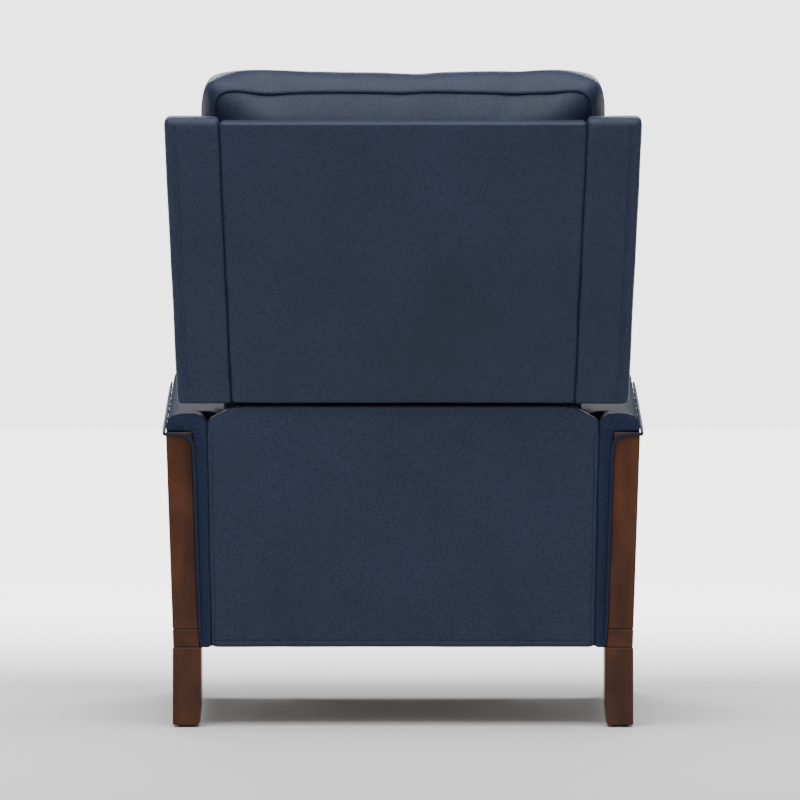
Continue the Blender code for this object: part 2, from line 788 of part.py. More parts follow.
def back_bracket():
    """Steel lever: screwed to the back frame, pivoted on the arm and slotted at its lower end."""
    low, high = layer(1)
    lean = Matrix.Rotation(-BACK_TILT, 3, "X")
    upper = []
    for forward, up in (
        (BRACKET_FORWARD - BRACKET_HALF_WIDTH, BRACKET_LOW),
        (BRACKET_FORWARD - BRACKET_HALF_WIDTH, BRACKET_TOP),
        (BRACKET_FORWARD + BRACKET_HALF_WIDTH, BRACKET_TOP),
        (BRACKET_FORWARD + BRACKET_HALF_WIDTH, BRACKET_LOW),
    ):
        turned = lean @ Vector((0.0, -forward, up))
        upper.append((turned.y + BACK_EDGE_Y, turned.z + BACK_EDGE_Z))
    pivot_y, pivot_z = BACK_PIVOT
    outline = [
        (pivot_y - LEVER_HALF_WIDTH, LEVER_LOW_Z),
        (pivot_y + LEVER_HALF_WIDTH, LEVER_LOW_Z),
        (pivot_y + LEVER_HALF_WIDTH, pivot_z),
        *upper,
        (pivot_y - LEVER_HALF_WIDTH, pivot_z),
    ]
    slot_half = LEVER_PIN_RADIUS + LEVER_SLOT_PLAY
    slot = capsule((pivot_y, LEVER_PIN_Z + 0.002), (pivot_y, LEVER_PIN_Z - 0.022), slot_half)
    bore = circle(BACK_PIVOT, STUD_RADIUS + STUD_PLAY)
    return plate(outline, low, high, holes=[bore, slot])


def lever_notch(sign):
    """Cutter for the slot in the front of the rear panel where a back lever swings."""
    low, high = layer(1)
    front = REAR_Y - REAR_PANEL_THICK
    play = 4 * GAP
    near = (low - play, front - LEVER_NOTCH_DEEP, LEVER_NOTCH_LOW)
    far = (high + play, front + LEVER_NOTCH_DEEP, LEVER_NOTCH_HIGH)
    bm = box(near, far)
    return mirrored(bm, sign)


def cut(item, name, bm):
    cutter = add_object(name, bm, "steel")
    cutter.hide_render = True
    cutter.display_type = "WIRE"
    boolean = item.modifiers.new(name, "BOOLEAN")
    boolean.operation = "DIFFERENCE"
    boolean.solver = "EXACT"
    boolean.object = cutter


def build_base():
    panel = soften(add_object("rear_panel", rear_panel(), "leather"), 0.005, 3)
    for side, sign in SIDES:
        cut(panel, "lever_notch_" + side, lever_notch(sign))
    both_sides("arm_body", arm_body, "leather")
    both_sides("arm_back_strip", arm_back_strip, "leather")
    both_sides("arm_pad", arm_pad, "leather", smooth=True)
    both_sides("arm_welt", arm_welt, "welt_leather", smooth=True)
    both_sides("rear_post", rear_post, "walnut", radius=0.002)
    both_sides("front_post", front_post, "walnut", radius=0.002)
    both_sides("side_rail", side_rail, "walnut", radius=0.0015)
    both_sides("side_inset_panel", side_inset_panel, "leather", radius=0.004)
    ends = (
        ("rear", REAR_Y - POST_DEPTH, 0.0, -REAR_LEG_WIDER),
        ("front", FRONT_Y, FRONT_LEG_RAKE, FRONT_LEG_NARROWER),
    )
    for end, low_y, rake, inset in ends:
        high_y = low_y + POST_DEPTH
        middle = (low_y + high_y) / 2
        both_sides(end + "_leg", lambda: leg(low_y, high_y, middle, rake, inset), "walnut", radius=0.002)
        both_sides(end + "_glide", lambda: glide(middle, rake), "nylon")
    both_sides("base_plate", base_plate, "steel")
    add_object("middle_cross_rail", cross_rail(-0.030, 0.010), "plywood")
    add_object("rear_cross_rail", cross_rail(0.262, 0.302), "plywood")


def build_seat():
    for end, base, top in (
        ("rear", REAR_SWING_BASE, REAR_SWING_TOP),
        ("front", FRONT_SWING_BASE, FRONT_SWING_TOP),
    ):
        both_sides(end + "_swing_link", lambda: swing_link(base, top), "steel", base)
    rod = torque_rod(midway(REAR_SWING_BASE, REAR_SWING_TOP), layer(1)[0] - GAP)
    add_object("swing_torque_rod", rod, "steel", REAR_SWING_BASE)
    both_sides("seat_plate", seat_plate, "steel", REAR_SWING_TOP)
    add_object("seat_frame", seat_frame(), "plywood", REAR_SWING_TOP)
    add_object("seat_webbing", seat_webbing(), "webbing", REAR_SWING_TOP)
    soften(add_object("seat_cushion", seat_cushion(), "leather", REAR_SWING_TOP), 0.024, 3)


def build_footrest():
    both_sides("foot_link_upper", foot_link_upper, "steel", FOOT_PIVOT)
    rod = torque_rod(midway(FOOT_PIVOT, FOOT_ELBOW), layer(3)[0] - GAP)
    add_object("foot_torque_rod", rod, "steel", FOOT_PIVOT)
    both_sides("foot_link_lower", foot_link_lower, "steel", FOOT_ELBOW)
    both_sides("foot_bracket", foot_bracket, "steel", FOOT_BOARD_PIVOT)
    add_object("foot_board", foot_board(), "plywood", FOOT_BOARD_PIVOT)
    soften(add_object("foot_pad", foot_pad(), "leather", FOOT_BOARD_PIVOT), 0.012, 3)


def build_back():
    soften(add_object("back_panel", back_panel(), "leather", BACK_PIVOT), 0.004, 2)
    both_sides("wing", wing, "leather", BACK_PIVOT, radius=0.006, segments=2)
    add_object("back_frame", back_frame(), "plywood", BACK_PIVOT)
    both_sides("back_bracket", back_bracket, "steel", BACK_PIVOT)
    soften(add_object("back_cushion", back_cushion(), "leather", BACK_PIVOT), 0.030, 3)


clear_scene()
build_base()
build_seat()
build_footrest()
build_back()
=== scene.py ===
"""Recliner armchair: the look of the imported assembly, seen square on from the rear."""

import json
import math

import bmesh
import bpy
from mathutils import Matrix, Vector, noise
from mathutils.bvhtree import BVHTree
from mathutils.kdtree import KDTree

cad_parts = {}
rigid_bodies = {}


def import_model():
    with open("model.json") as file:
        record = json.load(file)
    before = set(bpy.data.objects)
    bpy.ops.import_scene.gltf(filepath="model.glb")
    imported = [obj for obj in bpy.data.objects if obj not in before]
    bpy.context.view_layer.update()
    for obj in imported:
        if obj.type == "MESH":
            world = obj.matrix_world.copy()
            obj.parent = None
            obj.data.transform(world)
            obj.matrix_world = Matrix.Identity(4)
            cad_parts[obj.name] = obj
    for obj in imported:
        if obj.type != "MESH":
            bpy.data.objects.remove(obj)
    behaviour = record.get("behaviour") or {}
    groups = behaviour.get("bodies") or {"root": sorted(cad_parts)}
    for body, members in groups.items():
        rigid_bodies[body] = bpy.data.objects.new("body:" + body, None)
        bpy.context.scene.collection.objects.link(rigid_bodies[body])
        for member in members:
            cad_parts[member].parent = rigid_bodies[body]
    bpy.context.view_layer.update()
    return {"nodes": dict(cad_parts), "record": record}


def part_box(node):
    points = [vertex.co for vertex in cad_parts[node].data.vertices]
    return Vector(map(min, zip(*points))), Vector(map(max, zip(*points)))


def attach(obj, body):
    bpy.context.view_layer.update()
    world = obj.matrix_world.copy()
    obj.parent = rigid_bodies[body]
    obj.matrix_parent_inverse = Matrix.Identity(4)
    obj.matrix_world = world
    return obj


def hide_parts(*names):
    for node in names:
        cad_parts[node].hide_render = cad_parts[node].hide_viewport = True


for item in list(bpy.data.objects):
    bpy.data.objects.remove(item, do_unlink=True)

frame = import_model()
NODES = frame["nodes"]
BODIES = frame["record"]["behaviour"]["bodies"]

# Camera: square on to the rear, level, at about half the chair's height.
CAMERA_DISTANCE = 6.0
CAMERA_HEIGHT = 0.520
CAMERA_SIDESTEP = 0.0048
METRES_ACROSS = 1.272
SENSOR = 36.0

# Studio light: the room's strength on each side, the bright panel beyond the chair, and the far floor.
ROOM_REAR = 0.42
ROOM_FRONT = 0.32
BACKDROP = 3.0
FLOOR_GLOW = 3.6
FLOOR_GLOW_FROM_Y = -0.6
FLOOR_GLOW_FULL_Y = -3.0
FLOOR_REACH = 60.0
FLOOR_HEIGHT = -0.0005
# Each light: name, place, target, size, watts.
LIGHTS = (
    ("overhead", (0.0, 0.9, 3.2), (0.0, 0.1, 0.5), (2.4, 1.6), 75.0),
    ("rear_fill", (0.2, 1.75, 2.05), (0.0, 0.3, 0.8), (2.0, 0.7), 24.0),
    ("front_high", (0.0, -3.0, 2.5), (0.0, 0.4, 0.9), (3.0, 0.8), 110.0),
)

# Colours, as linear light.
NAVY = (0.0165, 0.0235, 0.0480)
NAVY_WELT = (0.0160, 0.0225, 0.0450)
NAVY_THREAD = (0.0100, 0.0140, 0.0270)
WALNUT_DARK = (0.0290, 0.0080, 0.0030)
WALNUT_LIGHT = (0.0950, 0.0290, 0.0105)
PLYWOOD_DARK = (0.300, 0.180, 0.085)
PLYWOOD_LIGHT = (0.480, 0.320, 0.170)
STEEL_BLACK = (0.020, 0.020, 0.022)
WEBBING_DARK = (0.020, 0.018, 0.016)
NYLON_BLACK = (0.015, 0.015, 0.015)
STUDIO_WHITE = (0.90, 0.90, 0.90)

# Surface detail. Texture scales are per metre. The leather's edge-highlight share is the most that raised
# edges are painted paler, a painted highlight on the rolled edges, and ALONG_GRAIN scales the place along
# the grain, which draws the figure out.
LEATHER_CLOUDS = 7.0
LEATHER_SPECKLE = 420.0
LEATHER_PEBBLE = 620.0
LEATHER_FINE = 240.0
LEATHER_EDGE_HIGHLIGHT = 0.35
WOOD_FIGURE = 22.0
WOOD_CLOUDS = 16.0
WOOD_PORES = 160.0
ALONG_GRAIN = 0.16
STEEL_GRAIN = 90.0
WEAVE = 130.0
NYLON_SPECKS = 300.0

# Padded panels and arm covers.
SIDES = (("left", -1.0), ("right", 1.0))
MERGE_DISTANCE = 0.00001
SMOOTH_FACTOR = 0.5
PANEL_VOXEL = 0.0045
PANEL_SWELL = 0.0009
BACK_SWELL = 0.0013
PANEL_RIPPLE = 0.0006
PANEL_RIPPLE_SCALE = 9.0
REAR_PANEL_RISE = 0.0022
REAR_PANEL_RISE_HALF = 0.268
REAR_PANEL_RISE_FADE = 0.015
ARM_VOXEL = 0.0035
ARM_SWELL = 0.0016
STRIP_TOP_BAND = 0.02
STRIP_LAP = 0.012

# Stitching: how far a row stands in from its panel's edge, and how much it slants from low to high.
STITCH_PITCH = 0.0052
STITCH_LENGTH = 0.0036
STITCH_RADIUS = 0.00055
GROOVE_DEPTH = 0.0020
GROOVE_WIDTH = 0.0042
SURFACE_PITCH = 0.01
WING_STITCH_INSET = 0.0115
WING_STITCH_SLANT = 0.0155
WING_STITCH_APART = 0.0045
BASE_STITCH_INSET = 0.0065
BASE_STITCH_SLANT = 0.0070
HEM_HEIGHT = 0.0095
HEM_END = 0.004
HEM_STEPS = 60

# Cushions and their piping. Margins are along x, y and z once a leaning cushion is turned upright.
BACK_TILT = math.radians(13.0)
CUSHION_VOXEL = 0.0060
CLOTH_FRAMES = 20
CLOTH_PRESSURE = 4.0
CLOTH_STIFFNESS = 25.0
EASE_PASSES = 40
CUSHION_RIPPLE = 0.0010
CUSHION_RIPPLE_SCALE = 7.0
SNUG = (0.001, 0.001, 0.001)
BACK_CUSHION_WIDER = (0.009, 0.001, 0.001)
BACK_CUSHION_TALLER = (0.009, 0.001, 0.013)
WELT_RADIUS = 0.0030
PIPING_LIFT = 0.0008
PIPING_PITCH = 0.008
CORNER_BAND = 0.08
BACK_PIPING_SHARE = 0.05
BACK_PIPING_CORNER = 0.055
SEAT_PIPING_INSET = 0.010
SEAT_PIPING_CORNER = 0.045
FOOT_PIPING_INSET = 0.008
FOOT_PIPING_CORNER = 0.030


# Materials.

def new_material(name):
    """A new material with its nodes, its links and its Principled BSDF."""
    material = bpy.data.materials.new(name)
    material.use_nodes = True
    nodes = material.node_tree.nodes
    return material, nodes, material.node_tree.links, nodes["Principled BSDF"]


def object_coordinates(nodes, links, stretch=(1.0, 1.0, 1.0)):
    """Texture coordinates in metres, squeezed along an axis to draw out a grain."""
    place = nodes.new("ShaderNodeTexCoord")
    mapping = nodes.new("ShaderNodeMapping")
    mapping.inputs["Scale"].default_value = stretch
    links.new(place.outputs["Object"], mapping.inputs["Vector"])
    return mapping.outputs["Vector"]


def noise_texture(nodes, links, vector, scale, detail):
    texture = nodes.new("ShaderNodeTexNoise")
    texture.inputs["Scale"].default_value = scale
    texture.inputs["Detail"].default_value = detail
    links.new(vector, texture.inputs["Vector"])
    return texture.outputs["Fac"]


def colour_ramp(nodes, links, factor, stops):
    ramp = nodes.new("ShaderNodeValToRGB")
    elements = ramp.color_ramp.elements
    while len(elements) < len(stops):
        elements.new(0.5)
    for element, (position, colour) in zip(elements, stops):
        element.position = position
        element.color = (*colour, 1.0)
    links.new(factor, ramp.inputs["Fac"])
    return ramp.outputs["Color"]


def bump(nodes, links, height, strength, distance, before=None):
    node = nodes.new("ShaderNodeBump")
    node.inputs["Strength"].default_value = strength
    node.inputs["Distance"].default_value = distance
    links.new(height, node.inputs["Height"])
    if before is not None:
        links.new(before, node.inputs["Normal"])
    return node.outputs["Normal"]


def spread(nodes, links, factor, low, high):
    """A texture value moved into the range from low to high."""
    node = nodes.new("ShaderNodeMapRange")
    node.inputs["To Min"].default_value = low
    node.inputs["To Max"].default_value = high
    links.new(factor, node.inputs["Value"])
    return node.outputs["Result"]


def faded(nodes, links, value, start, end):
    """0 at one value and 1 at the other, even between."""
    node = nodes.new("ShaderNodeMapRange")
    node.inputs["From Min"].default_value = start
    node.inputs["From Max"].default_value = end
    links.new(value, node.inputs["Value"])
    return node.outputs["Result"]


def calculated(nodes, links, operation, first, second):
    """One step of arithmetic on sockets or plain numbers."""
    node = nodes.new("ShaderNodeMath")
    node.operation = operation
    for socket, value in zip(node.inputs, (first, second)):
        if isinstance(value, float):
            socket.default_value = value
        else:
            links.new(value, socket)
    return node.outputs["Value"]


def multiplied(nodes, links, first, second):
    """The product of two colours."""
    node = nodes.new("ShaderNodeMix")
    node.data_type = "RGBA"
    node.blend_type = "MULTIPLY"
    node.inputs["Factor"].default_value = 1.0
    links.new(first, node.inputs["A"])
    links.new(second, node.inputs["B"])
    return node.outputs["Result"]


def scaled(colour, share):
    return tuple(channel * share for channel in colour)


def grey(value):
    return (value,) * 3


def leather(name, colour, roughness=0.52, shine=0.24):
    """Satin leather: fine pebble grain, soft clouding, and a painted highlight that makes raised edges
    paler.
    """
    material, nodes, links, shader = new_material(name)
    place = object_coordinates(nodes, links)
    clouds = noise_texture(nodes, links, place, LEATHER_CLOUDS, 4.0)
    tone = colour_ramp(nodes, links, clouds, ((0.25, scaled(colour, 0.86)), (0.75, scaled(colour, 1.16))))
    # Painted highlight: where the surface is pointy (raised, rolled edges), the colour is mixed towards a
    # paler navy.
    geometry = nodes.new("ShaderNodeNewGeometry")
    highlight_mask = colour_ramp(nodes, links, geometry.outputs["Pointiness"], ((0.50, grey(0.0)), (0.60, grey(1.0))))
    highlighted = nodes.new("ShaderNodeMix")
    highlighted.data_type = "RGBA"
    highlighted.inputs["B"].default_value = (*scaled(colour, 1.9), 1.0)
    links.new(calculated(nodes, links, "MULTIPLY", highlight_mask, LEATHER_EDGE_HIGHLIGHT), highlighted.inputs["Factor"])
    links.new(tone, highlighted.inputs["A"])
    speckle = noise_texture(nodes, links, place, LEATHER_SPECKLE, 2.0)
    shade = colour_ramp(nodes, links, speckle, ((0.34, grey(0.74)), (0.66, grey(1.28))))
    links.new(multiplied(nodes, links, highlighted.outputs["Result"], shade), shader.inputs["Base Color"])
    pebble = nodes.new("ShaderNodeTexVoronoi")
    pebble.feature = "SMOOTH_F1"
    pebble.inputs["Scale"].default_value = LEATHER_PEBBLE
    links.new(place, pebble.inputs["Vector"])
    fine = noise_texture(nodes, links, place, LEATHER_FINE, 5.0)
    grain = bump(nodes, links, pebble.outputs["Distance"], 0.45, 0.0006)
    grain = bump(nodes, links, fine, 0.35, 0.0010, grain)
    links.new(grain, shader.inputs["Normal"])
    links.new(spread(nodes, links, fine, roughness - 0.06, roughness + 0.10), shader.inputs["Roughness"])
    shader.inputs["Specular IOR Level"].default_value = shine
    return material


def wood(name, stretch, dark=WALNUT_DARK, light=WALNUT_LIGHT, roughness=0.38):
    """Stained wood: mottled colour with long figure and fine pores along the grain."""
    material, nodes, links, shader = new_material(name)
    along = object_coordinates(nodes, links, stretch)
    figure = noise_texture(nodes, links, along, WOOD_FIGURE, 6.0)
    tone = colour_ramp(nodes, links, figure, ((0.30, dark), (0.72, light)))
    clouds = noise_texture(nodes, links, object_coordinates(nodes, links), WOOD_CLOUDS, 3.0)
    shade = colour_ramp(nodes, links, clouds, ((0.30, grey(0.72)), (0.70, grey(1.20))))
    links.new(multiplied(nodes, links, tone, shade), shader.inputs["Base Color"])
    pores = noise_texture(nodes, links, along, WOOD_PORES, 4.0)
    links.new(bump(nodes, links, pores, 0.18, 0.0005), shader.inputs["Normal"])
    links.new(spread(nodes, links, clouds, roughness - 0.08, roughness + 0.10), shader.inputs["Roughness"])
    shader.inputs["Specular IOR Level"].default_value = 0.30
    return material


def painted_steel():
    """Black paint on steel, faintly uneven."""
    material, nodes, links, shader = new_material("painted_steel")
    place = object_coordinates(nodes, links)
    grain = noise_texture(nodes, links, place, STEEL_GRAIN, 4.0)
    stops = ((0.30, scaled(STEEL_BLACK, 0.7)), (0.75, scaled(STEEL_BLACK, 1.9)))
    tone = colour_ramp(nodes, links, grain, stops)
    links.new(tone, shader.inputs["Base Color"])
    links.new(spread(nodes, links, grain, 0.32, 0.55), shader.inputs["Roughness"])
    links.new(bump(nodes, links, grain, 0.10, 0.0004), shader.inputs["Normal"])
    shader.inputs["Metallic"].default_value = 0.6
    return material


def woven(name, colour):
    """Matt cloth or thread with a ribbed weave."""
    material, nodes, links, shader = new_material(name)
    place = object_coordinates(nodes, links)
    weave = nodes.new("ShaderNodeTexWave")
    weave.inputs["Scale"].default_value = WEAVE
    weave.inputs["Distortion"].default_value = 0.6
    links.new(place, weave.inputs["Vector"])
    tone = colour_ramp(nodes, links, weave.outputs["Fac"], ((0.1, colour), (0.9, scaled(colour, 2.6))))
    links.new(tone, shader.inputs["Base Color"])
    links.new(bump(nodes, links, weave.outputs["Fac"], 0.5, 0.0008), shader.inputs["Normal"])
    shader.inputs["Roughness"].default_value = 0.9
    return material


def nylon():
    """Black moulded plastic with fine specks."""
    material, nodes, links, shader = new_material("glide_nylon")
    place = object_coordinates(nodes, links)
    specks = noise_texture(nodes, links, place, NYLON_SPECKS, 3.0)
    tone = colour_ramp(nodes, links, specks, ((0.3, NYLON_BLACK), (0.8, scaled(NYLON_BLACK, 2.2))))
    links.new(tone, shader.inputs["Base Color"])
    links.new(spread(nodes, links, specks, 0.45, 0.62), shader.inputs["Roughness"])
    return material


# Meshes.

def body_of(node):
    """The body that a CAD node belongs to in the record."""
    for body, members in BODIES.items():
        if node in members:
            return body
    raise ValueError(node)


def copied(node, name):
    """A copy of a CAD node, its faces joined along their shared edges."""
    bm = bmesh.new()
    bm.from_mesh(NODES[node].data)
    bmesh.ops.remove_doubles(bm, verts=bm.verts, dist=MERGE_DISTANCE)
    return object_from(bm, name)


def applied(item):
    """Makes the modifiers' result the object's own mesh."""
    graph = bpy.context.evaluated_depsgraph_get()
    graph.update()
    mesh = bpy.data.meshes.new_from_object(item.evaluated_get(graph))
    item.modifiers.clear()
    item.data = mesh
    return item


def smoothed(item, passes):
    smooth = item.modifiers.new("smooth", "SMOOTH")
    smooth.factor = SMOOTH_FACTOR
    smooth.iterations = passes
    return applied(item)


def remeshed(item, voxel, smoothing):
    """An even mesh over the same form, with its edges rounded by the smoothing passes."""
    remesh = item.modifiers.new("even_mesh", "REMESH")
    remesh.mode = "VOXEL"
    remesh.voxel_size = voxel
    return smoothed(item, smoothing)


def subdivided(item, levels=1):
    finer = item.modifiers.new("finer", "SUBSURF")
    finer.levels = levels
    finer.render_levels = levels
    return applied(item)


def inflated(item, most):
    """Puffs a closed cover up with the cloth solver, holding each point within a given distance."""
    start = [vert.co.copy() for vert in item.data.vertices]
    cloth = item.modifiers.new("cover", "CLOTH")
    cloth.settings.use_pressure = True
    cloth.settings.uniform_pressure_force = CLOTH_PRESSURE
    cloth.settings.effector_weights.gravity = 0.0
    cloth.settings.tension_stiffness = CLOTH_STIFFNESS
    cloth.settings.compression_stiffness = CLOTH_STIFFNESS
    cloth.settings.bending_stiffness = 1.0
    cloth.settings.quality = 6
    cloth.point_cache.frame_start = 1
    cloth.point_cache.frame_end = CLOTH_FRAMES
    scene = bpy.context.scene
    for number in range(1, CLOTH_FRAMES + 1):
        scene.frame_set(number)
    applied(item)
    scene.frame_set(1)
    for vert, was in zip(item.data.vertices, start):
        moved = vert.co - was
        if moved.length > most:
            vert.co = was + moved.normalized() * most
    return item


def finished(item, body, material, smooth=True):
    """Material, smooth shading, and the body that the piece rides on."""
    item.data.materials.clear()
    item.data.materials.append(material)
    for face in item.data.polygons:
        face.use_smooth = smooth
    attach(item, body)
    return item


def pushed_out(item, amount):
    """Moves each point along its normal by an amount that depends on its place."""
    vertices = item.data.vertices
    normals = [vert.normal.copy() for vert in vertices]
    for vert, normal in zip(vertices, normals):
        vert.co += normal * amount(vert.co)
    return item


def ripple(item, depth, scale, seed):
    """Low, uneven swelling of a padded surface."""
    shift = Vector((seed, seed, seed))
    return pushed_out(item, lambda place: depth * noise.fractal(place * scale + shift, 1.0, 2.0, 3))


def groove(item, path, depth, width):
    """Draws the surface in along a line of stitching."""
    places = evenly(path, width / 4.0)
    nearest = KDTree(len(places))
    for index, place in enumerate(places):
        nearest.insert(place, index)
    nearest.balance()

    def drawn_in(place):
        gap = min(nearest.find(place)[2], width)
        return -depth * (1.0 + math.cos(math.pi * gap / width)) / 2.0

    return pushed_out(item, drawn_in)


def tree_of(item):
    return BVHTree.FromObject(item, bpy.context.evaluated_depsgraph_get())


def dropped_on(item, points, direction):
    """Each point moved along a direction to where it meets the surface of the item."""
    tree = tree_of(item)
    landed = []
    for point in points:
        hit = tree.ray_cast(Vector(point) - direction * 0.5, direction)[0]
        if hit is not None:
            landed.append(hit)
    return landed


def snapped_to(item, points, lift):
    """Each point moved to the nearest place on the item's surface, and out by the lift."""
    tree = tree_of(item)
    result = []
    for point in points:
        place, normal, _, _ = tree.find_nearest(Vector(point))
        result.append(place + normal * lift)
    return result


def evenly(points, pitch):
    """Points at a steady pitch along a line."""
    spaced = [points[0]]
    rest = pitch
    for start, end in zip(points, points[1:]):
        length = (end - start).length
        done = 0.0
        while length - done >= rest:
            done += rest
            spaced.append(start.lerp(end, done / length))
            rest = pitch
        rest -= length - done
    return spaced


def ring_at(point, along, side, radius, sides):
    """Points round a cord's section."""
    across = along.cross(side)
    ring = []
    for step in range(sides):
        turn = 2.0 * math.pi * step / sides
        ring.append(point + radius * (math.cos(turn) * side + math.sin(turn) * across))
    return ring


def cord_mesh(bm, points, radius, sides=10, closed=False):
    """A round cord through the points."""
    count = len(points)
    side = None
    rings = []
    for index, point in enumerate(points):
        before = points[index - 1] if index or closed else points[0]
        after = points[(index + 1) % count] if index + 1 < count or closed else points[-1]
        along = (after - before).normalized()
        if side is None:
            side = along.orthogonal().normalized()
        side = (side - along * side.dot(along)).normalized()
        rings.append([bm.verts.new(place) for place in ring_at(point, along, side, radius, sides)])
    pairs = list(zip(rings, rings[1:]))
    if closed:
        pairs.append((rings[-1], rings[0]))
    else:
        bm.faces.new(rings[0][::-1])
        bm.faces.new(rings[-1])
    for first, second in pairs:
        for i in range(sides):
            j = (i + 1) % sides
            bm.faces.new((first[i], first[j], second[j], second[i]))


def object_from(bm, name):
    """A bmesh as a named object in the scene, its faces turned outwards."""
    bmesh.ops.recalc_face_normals(bm, faces=bm.faces)
    mesh = bpy.data.meshes.new(name)
    bm.to_mesh(mesh)
    bm.free()
    item = bpy.data.objects.new(name, mesh)
    bpy.context.scene.collection.objects.link(item)
    return item


def stitches(name, lines, body):
    """Short sewn threads in rows along the given lines."""
    bm = bmesh.new()
    for line in lines:
        places = evenly(line, STITCH_PITCH)
        for start, end in zip(places, places[1:]):
            along = (end - start).normalized()
            tip = start + along * STITCH_LENGTH
            cord_mesh(bm, [start, tip], STITCH_RADIUS, sides=5)
    return finished(object_from(bm, name), body, THREAD, smooth=False)


NAVY_LEATHER = leather("navy_leather", NAVY)
ARM_LEATHER = leather("arm_leather", NAVY, 0.60, 0.03)
WELT_LEATHER = leather("welt_leather", NAVY_WELT, 0.50, 0.06)
THREAD = woven("navy_thread", NAVY_THREAD)
WOOD_UP = wood("walnut_upright", (1.0, 1.0, ALONG_GRAIN))
WOOD_LENGTH = wood("walnut_lengthwise", (1.0, ALONG_GRAIN, 1.0))
WOOD_RAW = wood("raw_timber", (ALONG_GRAIN, 1.0, 1.0), PLYWOOD_DARK, PLYWOOD_LIGHT, 0.70)
STEEL = painted_steel()
WEBBING = woven("elastic_webbing", WEBBING_DARK)
LINING = woven("navy_lining_cloth", NAVY_THREAD)
NYLON = nylon()


def dress_hard_parts():
    """Every hard CAD part keeps its shape and takes a finish."""
    for node, item in NODES.items():
        if "post" in node or "leg" in node:
            finish = WOOD_UP
        elif "side_rail" in node:
            finish = WOOD_LENGTH
        elif node == "back_frame":
            finish = LINING
        elif node.endswith("cross_rail") or node in ("seat_frame", "foot_board"):
            finish = WOOD_RAW
        elif "webbing" in node:
            finish = WEBBING
        elif "glide" in node:
            finish = NYLON
        else:
            finish = STEEL
        item.data.materials.clear()
        item.data.materials.append(finish)


def padded_panel(node, smoothing, fine=True, swell=PANEL_SWELL):
    """A leather-covered padded panel in place of its plain solid."""
    item = remeshed(copied(node, node + "_cover"), PANEL_VOXEL, smoothing)
    pushed_out(item, lambda place: swell)
    if fine:
        subdivided(item)
    ripple(item, PANEL_RIPPLE, PANEL_RIPPLE_SCALE, len(node))
    finished(item, body_of(node), NAVY_LEATHER)
    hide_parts(node)
    return item


def straight_line(start, end, steps):
    """Evenly spaced points behind the chair, from one (x, z) to another."""
    points = []
    for step in range(steps + 1):
        x = start[0] + (end[0] - start[0]) * step / steps
        z = start[1] + (end[1] - start[1]) * step / steps
        points.append(Vector((x, BEHIND_Y, z)))
    return points


FORWARD = Vector((0.0, -1.0, 0.0))
BEHIND_Y = 0.5
UPRIGHT_STEPS = 40


def rear_stitching(name, item, lines, body):
    """Stitching that shows on a rear face: each line is dropped on it and drawn in."""
    landed = [dropped_on(item, line, FORWARD) for line in lines]
    landed = [line for line in landed if len(line) > 2]
    for line in landed:
        groove(item, line, GROOVE_DEPTH, GROOVE_WIDTH)
    lifted = [dropped_on(item, evenly(line, SURFACE_PITCH), FORWARD) for line in landed]
    stitches(name, lifted, body)


def build_back():
    """The back's panel, and its wings with a double row of stitching near their outer edges."""
    padded_panel("back_panel", smoothing=2, swell=BACK_SWELL)
    for side, sign in SIDES:
        node = "wing_" + side
        item = padded_panel(node, smoothing=2, swell=BACK_SWELL)
        low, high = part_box(node)
        outer = max(abs(low.x), abs(high.x))
        start = (sign * (outer - WING_STITCH_SLANT - WING_STITCH_INSET), low.z + 0.006)
        end = (sign * (outer - WING_STITCH_INSET), high.z - 0.020)
        line = straight_line(start, end, UPRIGHT_STEPS)
        second = [point - Vector((sign * WING_STITCH_APART, 0.0, 0.0)) for point in line]
        rear_stitching(node + "_stitching", item, [line, second], "back")


def build_rear_panel():
    """The base's rear panel, fuller along its top edge, stitched up both sides and along its hem."""
    panel = padded_panel("rear_panel", smoothing=2)
    low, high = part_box("rear_panel")
    for vert in panel.data.vertices:
        height = max((vert.co.z - low.z) / (high.z - low.z), 0.0)
        inside = (REAR_PANEL_RISE_HALF - abs(vert.co.x)) / REAR_PANEL_RISE_FADE
        vert.co.z += REAR_PANEL_RISE * min(max(inside, 0.0), 1.0) * height ** 2
    lines = []
    for _, sign in SIDES:
        start = (sign * (high.x - BASE_STITCH_SLANT - BASE_STITCH_INSET), low.z + 0.004)
        end = (sign * (high.x - BASE_STITCH_INSET), high.z - 0.045)
        lines.append(straight_line(start, end, UPRIGHT_STEPS))
    reach = high.x - BASE_STITCH_SLANT - HEM_END
    hem = low.z + HEM_HEIGHT
    lines.append(straight_line((-reach, hem), (reach, hem), HEM_STEPS))
    rear_stitching("rear_panel_stitching", panel, lines, "base")


def build_arms():
    """The leather inside, on top of and outside each arm, and the piping round its rear end."""
    for side, _ in SIDES:
        padded_panel("arm_body_" + side, smoothing=2, fine=False)
        arm_top(side)
        padded_panel("side_inset_panel_" + side, smoothing=3, fine=False)
        welt = subdivided(copied("arm_welt_" + side, "arm_piping_" + side), 2)
        finished(welt, "base", WELT_LEATHER)
        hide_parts("arm_welt_" + side)


def arm_top(side):
    """The arm pad and the strip below its rear end, covered by one piece of leather."""
    pad = copied("arm_pad_" + side, "arm_cover_" + side)
    strip = copied("arm_back_strip_" + side, "strip_" + side)
    top = max(vert.co.z for vert in strip.data.vertices)
    for vert in strip.data.vertices:
        if vert.co.z > top - STRIP_TOP_BAND:
            vert.co.z += STRIP_LAP
    joined = bmesh.new()
    for part in (pad, strip):
        joined.from_mesh(part.data)
        bpy.data.objects.remove(part, do_unlink=True)
    item = remeshed(object_from(joined, "arm_cover_" + side), ARM_VOXEL, 4)
    pushed_out(item, lambda place: ARM_SWELL)
    subdivided(item)
    finished(item, "base", ARM_LEATHER)
    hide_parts("arm_pad_" + side, "arm_back_strip_" + side)


